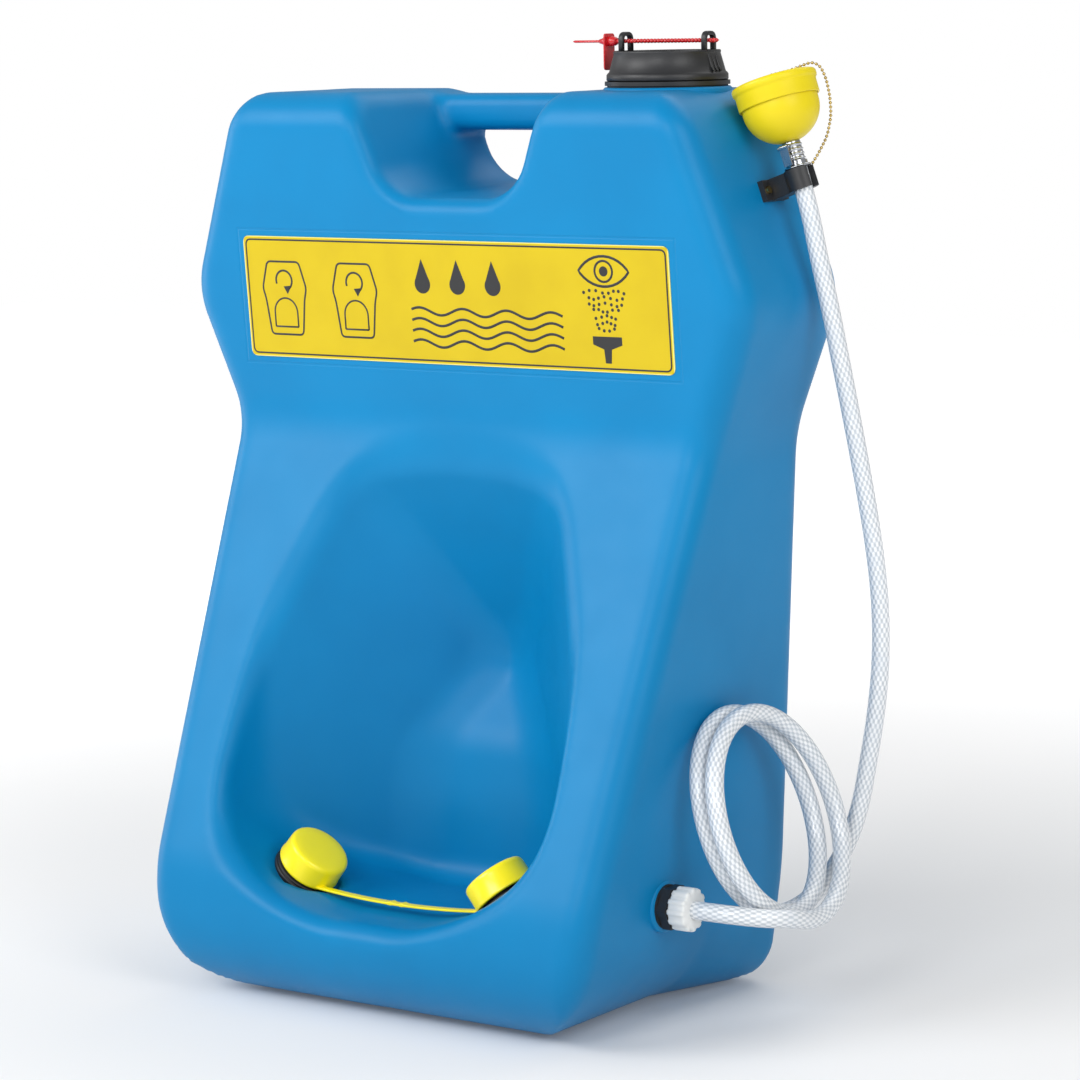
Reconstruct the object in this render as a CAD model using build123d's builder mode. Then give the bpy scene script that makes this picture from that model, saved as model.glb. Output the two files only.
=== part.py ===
"""Portable gravity-fed eyewash station: a free-standing tank with a moulded bowl, two capped
eye nozzles, a screw fill cap with a tamper seal, and a drench hose clipped to one side.

Millimetres.  Origin at the middle of the flat base, +Z up, the bowl faces -Y, the hose is on +X.
"""

import os
from math import atan2, cos, pi, radians, sin, tan

from build123d import *

os.makedirs("parts", exist_ok=True)

# ---------------------------------------------------------------- tank
height = 795
wall = 5
back_y = 167
width_knots = [(0, 223), (111, 239), (499, 258), (616, 303), (795, 239)]  # height, half width
front_knots = [(0, -166), (111, -158), (503, 9.4), (795, -14.6)]  # height, front face y
base_radius, base_back_radius = 87, 40
top_radius, top_back_radius = 34, 25
corner_radius = 26
blend_half = 22  # half height over which a crease is softened

# ---------------------------------------------------------------- bowl and handle
bowl_floor_z = 88
bowl_half, bowl_foot_half = 179, 92
bowl_arch_z, bowl_arch_height = 478, 217  # crown at the rim, and drop from crown to springing
bowl_arch_fall = 2.2  # how fast the roof comes down toward the back
bowl_plan = [(179, -62), (127, -16), (34, 105)]  # right side wall seen from above
bowl_back = [(34, 160), (42, 215), (84, 290)]  # back wall seen from the side, as (y, z)
bowl_clear = 700  # beyond every face of the tank
grip_top_half, grip_foot_half = 102, 66
grip_floor_z = 700
bar_height, bar_front_y = 37, 108

# ---------------------------------------------------------------- nozzles
nozzle_tilt = 40  # degrees from vertical, each leaning inward
nozzle_x, nozzle_y, nozzle_z = 115, -85, 106.6  # centre of the seat, a spot face in the bowl wall
nozzle_stem_radius = 16
nozzle_bore_radius = 9
spot_face_radius, spot_face_wall = 33, 9
cap_base = 10.5  # height of the cap's rim above the seat
cap_length = 23
cap_radius = 28.5

# ---------------------------------------------------------------- filler
filler_x, filler_y = 168, 92
filler_seat_z = height + 2
flange_radius = 54
spigot_radius, neck_bore_radius = 36, 32
thread_radius = 40
neck_top = 20  # above the seat, as all heights of the filler
fill_cap_foot, fill_cap_rim = 7, 31
fill_cap_low_radius, fill_cap_high_radius = 52.5, 45
lug_reach = 42.5
pad_radius = 56

# ---------------------------------------------------------------- outlet and hose
outlet_x, outlet_y, outlet_z = 240.5, -36, 111
outlet_thread_radius, outlet_boss_radius = 13, 23
hose_radius = 7.95
coil_centre = (296, 38, 183)
coil_radius = 86
coil_lean = 0.34  # sideways lean of the coil for each unit of height
coil_width, coil_thick = 35, 17
entry_route = [(265, -36, 111), (354, -36, 111), (351, 104, 96), (330, 126, 178)]
entry_bends = [68, 82]
rise_route = [
    (300, 0, 111), (297, 26, 98.5), (298, 54, 92.5), (300.5, 81.5, 94.5), (304, 107, 104),
    (308, 128.5, 120.5), (312.5, 145, 142.5), (318, 155, 171), (325, 156, 208), (332, 158, 250),
    (337, 159, 296), (338, 158, 346), (335.5, 153, 397), (331.5, 144, 449), (327.5, 133, 502),
    (323, 121, 557), (318.5, 109, 611), (313.5, 99, 655),
]
stem_end, hose_end = -108, -71.4  # along the head's axis: where the hose turns straight, and its end

# ---------------------------------------------------------------- drench head
head_rim = (274, 94, 800)  # centre of the cup's rim
head_tilt = 18  # degrees, the top leaning toward the tank
head_radius = 33
head_depth = 52
skirt_depth = 18
lever_reach = 13
clip_height = 18


def between(z, knots):
    """Value at height z on the straight lines through the knots."""
    for (z0, v0), (z1, v1) in zip(knots, knots[1:]):
        if z <= z1:
            return v0 + (v1 - v0) * (z - z0) / (z1 - z0)
    return knots[-1][1]


def softened(z, knots):
    """The same line with its creases averaged over a short height."""
    steps = [k / 4 * blend_half for k in range(-4, 5)]
    return sum(between(min(max(z + s, 0), height), knots) for s in steps) / len(steps)


def edge_inset(z, low, high):
    """How far a quarter-round base edge and top edge pull the wall in at height z."""
    if z < low:
        return low - (low**2 - (low - z) ** 2) ** 0.5
    if z > height - high:
        return high - (high**2 - (z - height + high) ** 2) ** 0.5
    return 0


def tank_levels():
    """Heights of the sections: close together round the base, the creases and the top."""
    base = [base_radius * (1 - cos(radians(t))) for t in range(0, 91, 15)]
    top = [height - top_radius * (1 - sin(radians(t))) for t in range(0, 91, 18)]
    middle = [130, 300, 470, 490, 510, 530, 594, 608, 624, 638, 700]
    return base + middle + top


def tank_block(inset):
    """The tank without its recesses: rounded rectangles stacked up the height."""
    with BuildPart() as block:
        for z in tank_levels():
            side = edge_inset(z, base_radius, top_radius)
            half = softened(z, width_knots) - side - inset
            front = softened(z, front_knots) + side + inset
            back = back_y - edge_inset(z, base_back_radius, top_back_radius) - inset
            level = inset + z * (height - 2 * inset) / height
            with BuildSketch(Plane.XY.offset(level)):
                with Locations((0, (front + back) / 2)):
                    radius = max(corner_radius - 0.2 * side - inset, 6)
                    RectangleRounded(2 * half, back - front, radius)
        loft(ruled=True)
    return block.part


def prism(plane, points, grow):
    """A long prism both ways from a plane, its outline moved outward by grow."""
    with BuildPart() as made:
        with BuildSketch(plane):
            with BuildLine():
                Polyline(*points, close=True)
            make_face()
            if grow > 0:
                offset(amount=grow, kind=Kind.INTERSECTION)
        extrude(amount=bowl_clear, both=True)
    return made.part


def mirrored(points):
    """Points on the right side followed by their mirror images, back to the start."""
    return points + [(-x, other) for x, other in reversed(points)]


def bowl_space(grow):
    """The bowl: what a front outline, a plan, a side outline and a falling arched roof share."""
    shoulder_z = bowl_floor_z + (bowl_half - bowl_foot_half) * tan(radians(nozzle_tilt))
    front = [(bowl_foot_half, bowl_floor_z), (bowl_half, shoulder_z), (bowl_half, bowl_clear)]
    plan = [(bowl_half, -bowl_clear)] + bowl_plan
    foot_y = bowl_back[0][0]
    end_y = bowl_back[-1][0]
    side = [(-bowl_clear, bowl_floor_z), (foot_y, bowl_floor_z)] + bowl_back
    side += [(end_y, bowl_clear), (-bowl_clear, bowl_clear)]
    slant = (1 + bowl_arch_fall**2) ** 0.5
    start_y = -2 * back_y
    middle_z = bowl_arch_z - bowl_arch_height - bowl_arch_fall * (start_y + 1)
    with BuildPart() as space:
        add(prism(Plane.XZ, mirrored(front), grow))
        add(prism(Plane.XY, mirrored(plan), grow), mode=Mode.INTERSECT)
        add(prism(Plane.YZ, side, grow), mode=Mode.INTERSECT)
        with BuildSketch(Plane.XZ.offset(-start_y)):
            with Locations((0, middle_z)):
                Ellipse(bowl_half + grow, bowl_arch_height + slant * grow)
            with Locations((0, middle_z - bowl_clear)):
                Rectangle(2 * (bowl_half + grow), 2 * bowl_clear)
        reach = 4 * back_y * slant
        extrude(amount=reach, dir=(0, 1, -bowl_arch_fall), mode=Mode.INTERSECT)
    return space.part


def grip_space(grow):
    """The hand hole: a notch from the front and the top, open under a bar at the back."""
    floor = grip_floor_z - grow
    slope = (grip_top_half - grip_foot_half) / (height - grip_floor_z)
    foot = grip_foot_half + grow
    top_z = height + 20
    with BuildPart() as space:
        with BuildSketch(Plane.XZ) as outline:
            with BuildLine():
                Polyline(
                    (foot, floor), (foot + slope * (top_z - floor), top_z),
                    (-foot - slope * (top_z - floor), top_z), (-foot, floor), close=True,
                )
            make_face()
            fillet(outline.vertices().group_by(Axis.Y)[0], 24)
        extrude(amount=2 * back_y, both=True)
        bar_foot = height - bar_height
        with BuildSketch(Plane.YZ):
            with BuildLine():
                Polyline(
                    (bar_front_y + grow, bar_foot - grow), (2 * back_y, bar_foot - grow),
                    (2 * back_y, top_z + 1), (bar_front_y + grow, top_z + 1), close=True,
                )
            make_face()
        if grow == 0:
            extrude(amount=2 * bowl_half, both=True, mode=Mode.SUBTRACT)
        else:
            add(bar_core(grow), mode=Mode.SUBTRACT)
    return space.part


def bar_core(grow):
    """The hollow inside the handle bar, which keeps a wall all round it."""
    with BuildPart() as core:
        with BuildSketch(Plane.YZ):
            with Locations(((bar_front_y + back_y) / 2, height - bar_height / 2)):
                RectangleRounded(back_y - bar_front_y - 2 * grow, bar_height - 2 * grow, 6)
        extrude(amount=2 * bowl_half, both=True)
    return core.part


def nozzle_plane(side):
    """Seat of a nozzle on the bowl wall: side is -1 for the left one and 1 for the right one."""
    axis = (-side * sin(radians(nozzle_tilt)), 0, cos(radians(nozzle_tilt)))
    return Plane(origin=(side * nozzle_x, nozzle_y, nozzle_z), x_dir=(0, -1, 0), z_dir=axis)


def widest_bends(points):
    """The largest bend radius at each corner of a route that leaves room for its neighbours."""
    runs = [b - a for a, b in zip(points, points[1:])]
    bends = []
    for before, after in zip(runs, runs[1:]):
        half_turn = radians(before.get_angle(after)) / 2
        bends.append(0.45 * min(before.length, after.length) / tan(half_turn))
    return bends


def tube(points, bends, radius):
    """A round tube along straight runs joined by arcs."""
    with BuildPart() as made:
        with BuildLine() as path:
            FilletPolyline(*points, radius=bends)
        centre_line = path.wires()[0]
        with BuildSketch(Plane(origin=centre_line @ 0, z_dir=centre_line % 0)):
            Circle(radius)
        sweep(path=centre_line)
    length = centre_line.length
    filled = made.part.volume / (pi * radius**2 * length)
    print("bends", [round(r) for r in bends], "length", round(length, 1), "filled", round(filled, 4))
    return made.part


def ring(outer, inner, low, high):
    """A plain ring about the local Z axis, from low to high."""
    with Locations((0, 0, low)):
        Cylinder(outer, high - low, align=(Align.CENTER, Align.CENTER, Align.MIN))
        Cylinder(inner, high - low, align=(Align.CENTER, Align.CENTER, Align.MIN), mode=Mode.SUBTRACT)


def disc(radius, low, high, mode=Mode.ADD):
    """A plain disc about the local Z axis, from low to high."""
    with Locations((0, 0, low)):
        Cylinder(radius, high - low, align=(Align.CENTER, Align.CENTER, Align.MIN), mode=mode)


def save(piece, name):
    """Label a finished piece and write it."""
    piece.label = name
    export_step(piece, f"parts/{name}.step")


sides = {"left": -1, "right": 1}
head_axis = (-sin(radians(head_tilt)), 0, cos(radians(head_tilt)))
head_plane = Plane(origin=head_rim, x_dir=(0, -1, 0), z_dir=head_axis)
head_section = Plane(origin=head_rim, x_dir=(0, -1, 0), z_dir=(-head_axis[2], 0, head_axis[0]))
outlet_plane = Plane(origin=(outlet_x, outlet_y, outlet_z), x_dir=(0, 1, 0), z_dir=(1, 0, 0))
filler_plane = Plane(origin=(filler_x, filler_y, filler_seat_z))

wall_slope = (width_knots[3][1] - width_knots[4][1]) / (height - width_knots[3][0])
wall_lean = atan2(wall_slope, 1)
clip_level = -85  # along the head's axis, from the cup's rim
hose_at_clip = Vector(*head_rim) + Vector(*head_axis) * clip_level
wall_out = Vector(cos(wall_lean), 0, sin(wall_lean))
clip_hold = (hose_at_clip.X - between(hose_at_clip.Z, width_knots)) * cos(wall_lean)
clip_plane = Plane(origin=hose_at_clip - wall_out * clip_hold, x_dir=(0, -1, 0), z_dir=wall_out)
clip_screw_reach = 12
screw_radius = 1.9

front_slope = (front_knots[3][1] - front_knots[2][1]) / (front_knots[3][0] - front_knots[2][0])
label_z, label_width, label_height = 612.5, 460, 109.5
label_plane = Plane(
    origin=(0, between(label_z, front_knots), label_z), x_dir=(1, 0, 0), z_dir=(0, -1, front_slope)
)

# ================================================================ tank
with BuildPart() as water_space:
    add(tank_block(wall))
    add(bowl_space(wall), mode=Mode.SUBTRACT)
    add(grip_space(wall), mode=Mode.SUBTRACT)
    for side in sides.values():
        with Locations(nozzle_plane(side)):
            disc(spot_face_radius, -spot_face_wall, 60, Mode.SUBTRACT)
    with Locations(outlet_plane):
        disc(outlet_boss_radius, -10, 20, Mode.SUBTRACT)
    with Locations(filler_plane):
        disc(44, -24, -7)

with BuildPart() as tank:
    add(tank_block(0))
    add(bowl_space(0), mode=Mode.SUBTRACT)
    add(grip_space(0), mode=Mode.SUBTRACT)
    for side in sides.values():
        with Locations(nozzle_plane(side)):
            disc(spot_face_radius, 0, 50, Mode.SUBTRACT)
    with Locations(filler_plane):
        disc(pad_radius, -14, 0)
    with Locations(outlet_plane):
        disc(outlet_boss_radius, -6, 0)
    add(water_space.part, mode=Mode.SUBTRACT)
    for side in sides.values():
        with Locations(nozzle_plane(side)):
            disc(nozzle_stem_radius, -20, 1, Mode.SUBTRACT)
    with Locations(filler_plane):
        disc(spigot_radius, -20, 1, Mode.SUBTRACT)
    with Locations(outlet_plane):
        disc(outlet_thread_radius, -20, 1, Mode.SUBTRACT)
    with Locations(clip_plane):
        with Locations((-clip_screw_reach, 0, 0), (clip_screw_reach, 0, 0)):
            disc(screw_radius, -8, 1, Mode.SUBTRACT)
save(tank.part, "tank")

with BuildPart() as label:
    with BuildSketch(label_plane):
        RectangleRounded(label_width, label_height, 7)
    extrude(amount=0.8)
save(label.part, "label_plate")

# ================================================================ filler
with BuildPart(filler_plane) as neck_gasket:
    ring(52, spigot_radius, 0, 1.5)
save(neck_gasket.part, "neck_gasket")

with BuildPart(filler_plane) as fill_neck:
    disc(flange_radius, 1.5, 5)
    disc(thread_radius - 1.5, 5, neck_top)
    for turn in range(3):
        disc(thread_radius, 8 + 4 * turn, 10 + 4 * turn)
    disc(spigot_radius, -26, 1.5)
    disc(neck_bore_radius, -26, neck_top, Mode.SUBTRACT)
save(fill_neck.part, "fill_neck")

with BuildPart(filler_plane) as neck_locknut:
    ring(43, spigot_radius, -17, -7)
save(neck_locknut.part, "neck_locknut")

with BuildPart(filler_plane) as cap_gasket:
    ring(38.5, 33, neck_top, neck_top + 2)
save(cap_gasket.part, "cap_gasket")

with BuildPart(filler_plane) as fill_cap:
    with Locations((0, 0, (fill_cap_foot + fill_cap_rim) / 2)):
        Cone(fill_cap_low_radius, fill_cap_high_radius, fill_cap_rim - fill_cap_foot)
    disc(thread_radius + 0.4, fill_cap_foot, neck_top + 2, Mode.SUBTRACT)
    disc(fill_cap_high_radius - 4, fill_cap_rim - 5, fill_cap_rim, Mode.SUBTRACT)
    for angle in (0, 180):  # a lug with an eye on each side, over a ribbed pocket
        with Locations(Rotation(0, 0, angle)):
            with Locations((lug_reach + 6, 0, 17)):
                Box(9, 22, 15, mode=Mode.SUBTRACT)
            with Locations((lug_reach + 2.5, -6, 18), (lug_reach + 2.5, 0, 18), (lug_reach + 2.5, 6, 18)):
                Box(6, 2.2, 18)
            with Locations((lug_reach, 0, 31.5)):
                Box(5, 11, 17)
            with Locations(Location((lug_reach, 0, 40), (0, 90, 0))):
                Cylinder(5.5, 5)
            with Locations(Location((lug_reach, 0, 39), (0, 90, 0))):
                Cylinder(3.9, 6, mode=Mode.SUBTRACT)
save(fill_cap.part, "fill_cap")

strap_z = 39
strand = 2  # half the distance between the two strands
with BuildPart(filler_plane) as seal_strap:
    for y in (-strand, strand):
        with Locations(Location((0, y, strap_z), (0, 90, 0))):
            Cylinder(1.3, 98)
    with Locations((49, 0, strap_z)):
        Sphere(3.3)
    with Locations(Location((-53, 0, strap_z), (0, 90, 0))):
        Cone(3.2, 4.6, 13)
    with Locations(Location((-78, 0, strap_z), (0, 90, 0))):
        Cylinder(0.8, 40)
save(seal_strap.part, "seal_strap")

with BuildPart(filler_plane) as seal_tag:
    with Locations((-60.3, 0, 30)):
        Box(1.4, 16, 32)
        Cylinder(1, 3, rotation=(0, 90, 0), mode=Mode.SUBTRACT)
    with Locations(Location((-60.3, 0, strap_z), (0, 90, 0))):
        Cylinder(3.4, 4, mode=Mode.SUBTRACT)
save(seal_tag.part, "seal_tag")

# ================================================================ eye nozzles
for name, side in sides.items():
    seat = nozzle_plane(side)
    with BuildPart(seat) as nozzle_gasket:
        ring(28.5, nozzle_stem_radius, 0, 1.5)
    save(nozzle_gasket.part, f"nozzle_gasket_{name}")

    with BuildPart(seat) as nozzle_body:
        disc(29.5, 1.5, 4.5)
        disc(27.5, 4.5, 8)
        disc(29, 6, 7.5)
        disc(24.6, 8, 28)
        disc(nozzle_stem_radius, -25, 1.5)
        disc(nozzle_bore_radius, -25, 12, Mode.SUBTRACT)
        disc(18, 12, 28, Mode.SUBTRACT)
        disc(22, 25.5, 28, Mode.SUBTRACT)
    save(nozzle_body.part, f"nozzle_body_{name}")

    with BuildPart(seat) as spray_disc:
        disc(22, 25.5, 28)
        with PolarLocations(12, 8):
            Cylinder(1.3, 80, mode=Mode.SUBTRACT)
        with PolarLocations(6, 4):
            Cylinder(1.3, 80, mode=Mode.SUBTRACT)
    save(spray_disc.part, f"spray_disc_{name}")

    with BuildPart(seat) as nozzle_locknut:
        with BuildSketch(seat.offset(-18)):
            RegularPolygon(21, 6, major_radius=False)
            Circle(nozzle_stem_radius, mode=Mode.SUBTRACT)
        extrude(amount=9)
    save(nozzle_locknut.part, f"nozzle_locknut_{name}")

    with BuildPart(seat) as nozzle_cap:
        disc(cap_radius, cap_base, cap_base + cap_length)
        top_edge = nozzle_cap.faces().sort_by(Axis(seat.origin, seat.z_dir))[-1].edges()
        fillet(top_edge, 5)
        disc(25, cap_base, cap_base + cap_length - 3, Mode.SUBTRACT)
    save(nozzle_cap.part, f"nozzle_cap_{name}")

strap_end_x, strap_end_z, strap_y, strap_sag = 92, 101, -97, 5
with BuildPart() as pull_strap:
    with BuildSketch(Plane.XZ.offset(-strap_y - 4)):
        with BuildLine():
            low = ThreePointArc(
                (-strap_end_x, strap_end_z), (0, strap_end_z - strap_sag), (strap_end_x, strap_end_z)
            )
            offset(low, amount=2, side=Side.LEFT)
        make_face()
    extrude(amount=8)
    for side in sides.values():
        with Locations(nozzle_plane(side)):
            disc(cap_radius + 0.3, 0, 60, Mode.SUBTRACT)
save(pull_strap.part, "pull_strap")

# ================================================================ outlet
with BuildPart(outlet_plane) as outlet_gasket:
    ring(19, outlet_thread_radius, 0, 2)
save(outlet_gasket.part, "outlet_gasket")

with BuildPart(outlet_plane) as outlet_fitting:
    with BuildSketch(outlet_plane.offset(2)):
        RegularPolygon(17.5, 6, major_radius=False)
    extrude(amount=9)
    disc(outlet_thread_radius, -22, 2)
    disc(10.5, 11, 21.5)
    disc(6, -22, 21.5, Mode.SUBTRACT)
save(outlet_fitting.part, "outlet_fitting")

with BuildPart(outlet_plane) as outlet_locknut:
    with BuildSketch(outlet_plane.offset(-18)):
        RegularPolygon(18, 6, major_radius=False)
        Circle(outlet_thread_radius, mode=Mode.SUBTRACT)
    extrude(amount=8)
save(outlet_locknut.part, "outlet_locknut")

with BuildPart(outlet_plane) as hose_nut:
    disc(19, 11.4, 28)
    with BuildSketch(outlet_plane.offset(11.4)):
        with PolarLocations(18.6, 12):
            RectangleRounded(3.4, 5, 1.4)
    extrude(amount=12)
    chamfer(hose_nut.faces().sort_by(Axis.X)[-1].edges(), 4)
    disc(10.9, 11.4, 24.8, Mode.SUBTRACT)
    disc(8.4, 11.4, 28, Mode.SUBTRACT)
save(hose_nut.part, "hose_nut")

with BuildPart(outlet_plane) as hose_tail:
    disc(10.2, 21.5, 24.5)
    disc(4.5, 24.5, 42)
    disc(3.2, 21.5, 42, Mode.SUBTRACT)
save(hose_tail.part, "hose_tail")

# ================================================================ hose
coil_axis = Vector(1, 0, coil_lean).normalized()
coil_section = Plane(origin=coil_centre, x_dir=(0, 1, 0), z_dir=(coil_axis.Z, 0, -coil_axis.X))
with BuildPart() as hose_coil:
    with BuildSketch(coil_section):
        with Locations((coil_radius, 0)):
            RectangleRounded(coil_thick, coil_width, 8)
    revolve(axis=Axis(coil_centre, coil_axis))
save(hose_coil.part, "hose_coil")

entry_tube = tube([Vector(*p) for p in entry_route], entry_bends, hose_radius)
with BuildPart() as hose_entry:
    add(entry_tube)
    add(hose_coil.part, mode=Mode.SUBTRACT)
    with Locations(outlet_plane):
        disc(4.5, 20, 42, Mode.SUBTRACT)
save(hose_entry.part, "hose_entry")

rise_points = [Vector(*p) for p in rise_route]
rise_points += [Vector(*head_rim) + Vector(*head_axis) * level for level in (stem_end, hose_end)]
rise_tube = tube(rise_points, widest_bends(rise_points), hose_radius)
with BuildPart() as hose_rise:
    add(rise_tube)
    add(hose_coil.part, mode=Mode.SUBTRACT)
    with Locations(head_plane):
        disc(4.5, -92, -60, Mode.SUBTRACT)
save(hose_rise.part, "hose_rise")

# ================================================================ drench head
with BuildPart() as head_cup:
    with BuildSketch(head_section):
        with BuildLine():
            Polyline((30.5, 0), (head_radius, 0), (head_radius, -22))
            EllipticalCenterArc((0, -22), head_radius, head_depth - 22, start_angle=-72, arc_size=72)
            bowl_end = (head_radius * cos(radians(72)), -22 - (head_depth - 22) * sin(radians(72)))
            Polyline(bowl_end, (9.5, -54), (6.5, -54), (6.5, -46))
            inner_start = (30.5 * cos(radians(70)), -22 - 26 * sin(radians(70)))
            Line((6.5, -46), inner_start)
            EllipticalCenterArc((0, -22), 30.5, 26, start_angle=-70, arc_size=70)
            Line((30.5, -22), (30.5, 0))
        make_face()
    revolve(axis=Axis(head_rim, head_axis))
save(head_cup.part, "head_cup")

with BuildPart(head_plane) as spray_plate:
    disc(30.5, -8, -5.5)
    for radius, count in ((8, 6), (16, 12), (24, 18)):
        with PolarLocations(radius, count):
            Cylinder(1.2, 40, mode=Mode.SUBTRACT)
save(spray_plate.part, "spray_plate")

with BuildPart(head_plane) as dust_cap:
    disc(head_radius + 2.2, -skirt_depth, 2.5)
    disc(head_radius + 0.3, -skirt_depth, 0.3, Mode.SUBTRACT)
save(dust_cap.part, "dust_cap")

with BuildPart(head_plane) as chain_stud:
    disc(3.2, 2.5, 5)
save(chain_stud.part, "chain_stud")

with BuildPart(head_plane) as valve_body:
    disc(8, -70, -54)
    for level in (-56, -60, -64, -68):
        disc(9, level - 1, level + 1)
    disc(4.5, -70, -54, Mode.SUBTRACT)
    with Locations((lever_reach - 2.5, -5.2, -57), (lever_reach - 2.5, 5.2, -57)):
        Box(9, 1.6, 5)
    with Locations(Location((lever_reach, 0, -57), (90, 0, 0))):
        Cylinder(1.2, 30, mode=Mode.SUBTRACT)
    with Locations(Location((lever_reach - 4.5, 0, -66), (0, 90, 0))):
        Cylinder(2.1, 9, mode=Mode.SUBTRACT)
save(valve_body.part, "valve_body")

with BuildPart(head_plane) as lever_pin:
    with Locations(Location((lever_reach, 0, -57), (90, 0, 0))):
        Cylinder(1.2, 12.4)
save(lever_pin.part, "lever_pin")

with BuildPart(head_plane) as squeeze_lever:
    with Locations((lever_reach + 0.8, 0, -65.5)):
        Box(1.6, 8, 15)
    with Locations(Location((lever_reach, 0, -57), (90, 0, 0))):
        Cylinder(2.2, 8)
        Cylinder(1.25, 8, mode=Mode.SUBTRACT)
save(squeeze_lever.part, "squeeze_lever")

with BuildPart(head_plane) as valve_plunger:
    with Locations(Location((9.75, 0, -66), (0, 90, 0))):
        Cylinder(2.05, 5.9)
save(valve_plunger.part, "valve_plunger")

with BuildPart(head_plane) as hose_ferrule:
    disc(9.4, -75.5, -70)
    disc(hose_radius, -75.5, -71.4, Mode.SUBTRACT)
    disc(4.5, -75.5, -70, Mode.SUBTRACT)
save(hose_ferrule.part, "hose_ferrule")

with BuildPart(head_plane) as stem_tail:
    disc(4.5, -90, -54)
    disc(3.2, -90, -54, Mode.SUBTRACT)
save(stem_tail.part, "stem_tail")

# ================================================================ clip and chain
with BuildPart() as clip:
    clip_face = Plane(
        origin=clip_plane.origin - clip_plane.y_dir * clip_height / 2,
        x_dir=clip_plane.x_dir, z_dir=-clip_plane.y_dir,
    )
    with BuildSketch(clip_face):
        with Locations((0, 2.5)):
            Rectangle(34, 5)
        with Locations((0, 14)):
            Rectangle(15, 20)
        with Locations((0, clip_hold)):
            Circle(13)
            Circle(hose_radius + 0.3, mode=Mode.SUBTRACT)
        with Locations((0, clip_hold + 12)):
            Rectangle(11, 20, mode=Mode.SUBTRACT)
    extrude(amount=-clip_height)
    with Locations(clip_plane):
        with Locations((-clip_screw_reach, 0, 0), (clip_screw_reach, 0, 0)):
            disc(screw_radius, -1, 6, Mode.SUBTRACT)
save(clip.part, "clip")

screw_head = 2
with BuildPart() as clip_screws:
    with Locations(clip_plane):
        with Locations((-clip_screw_reach, 0, 0), (clip_screw_reach, 0, 0)):
            disc(screw_radius, -8, 5)
            disc(3.4, 5, 5 + screw_head)
save(clip_screws.part, "clip_screws")

with BuildPart(head_plane) as chain_ring:
    with Locations((0, 0, -74.6)):
        Torus(10.6, 1)
save(chain_ring.part, "chain_ring")

across = Vector(0.818, 0.575, 0)  # the side of the cup over which the chain hangs
across = (across - head_plane.z_dir * across.dot(head_plane.z_dir)).normalized()
chain_route = [
    (0, 6.6), (7, 6.4), (17, 6.2), (28, 7.6), (36, 8), (41.5, 3), (43.5, -8), (42.5, -24),
    (39, -40), (31, -56), (20, -68), (12.4, -75),
]
chain_points = [Vector(*head_rim) + across * r + Vector(*head_axis) * h for r, h in chain_route]
with BuildPart() as bead_chain:
    with BuildLine() as chain_line:
        Spline(*chain_points)
    with BuildSketch(Plane(origin=chain_line.line @ 0, z_dir=chain_line.line % 0)):
        Circle(1.2)
    sweep()
save(bead_chain.part, "bead_chain")
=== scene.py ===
from math import cos, pi, radians, sin

import bpy
import numpy as np
from mathutils import Matrix, Vector


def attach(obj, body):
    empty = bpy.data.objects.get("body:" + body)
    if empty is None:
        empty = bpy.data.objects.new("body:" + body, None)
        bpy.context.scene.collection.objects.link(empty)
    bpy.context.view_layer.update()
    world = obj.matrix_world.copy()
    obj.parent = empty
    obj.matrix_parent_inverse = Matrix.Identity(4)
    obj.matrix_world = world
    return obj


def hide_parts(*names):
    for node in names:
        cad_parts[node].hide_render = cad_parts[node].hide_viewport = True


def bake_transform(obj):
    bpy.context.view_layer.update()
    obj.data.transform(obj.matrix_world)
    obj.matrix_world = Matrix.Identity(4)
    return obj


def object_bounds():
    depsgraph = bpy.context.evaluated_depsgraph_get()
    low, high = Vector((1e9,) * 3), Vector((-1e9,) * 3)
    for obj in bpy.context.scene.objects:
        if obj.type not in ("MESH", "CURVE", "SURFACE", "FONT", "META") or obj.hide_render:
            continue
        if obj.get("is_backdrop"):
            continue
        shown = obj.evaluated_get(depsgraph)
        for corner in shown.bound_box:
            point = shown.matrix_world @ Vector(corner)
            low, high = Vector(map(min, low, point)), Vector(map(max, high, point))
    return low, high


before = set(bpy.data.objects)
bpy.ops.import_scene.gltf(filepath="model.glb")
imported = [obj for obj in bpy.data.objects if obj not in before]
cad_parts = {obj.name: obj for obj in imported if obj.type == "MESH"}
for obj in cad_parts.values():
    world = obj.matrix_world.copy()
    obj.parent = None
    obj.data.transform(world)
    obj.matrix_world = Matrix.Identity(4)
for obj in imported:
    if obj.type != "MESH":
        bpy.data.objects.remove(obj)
cadBox = [list(corner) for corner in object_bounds()]
scene = bpy.context.scene
mm = 0.001  # every shape below is worked out in millimetres

# camera: a long lens from the front right, a little above the middle of the tank
camera = {
    "target": (98.4, 16.0, 396.5), "distance": 3303.5, "azimuth": 35.2, "elevation": 8.2, "roll": -1.03,
    "lens": 126.8, "sensor": 36.0, "shift": (-0.0174, 0.0125),
}


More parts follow.
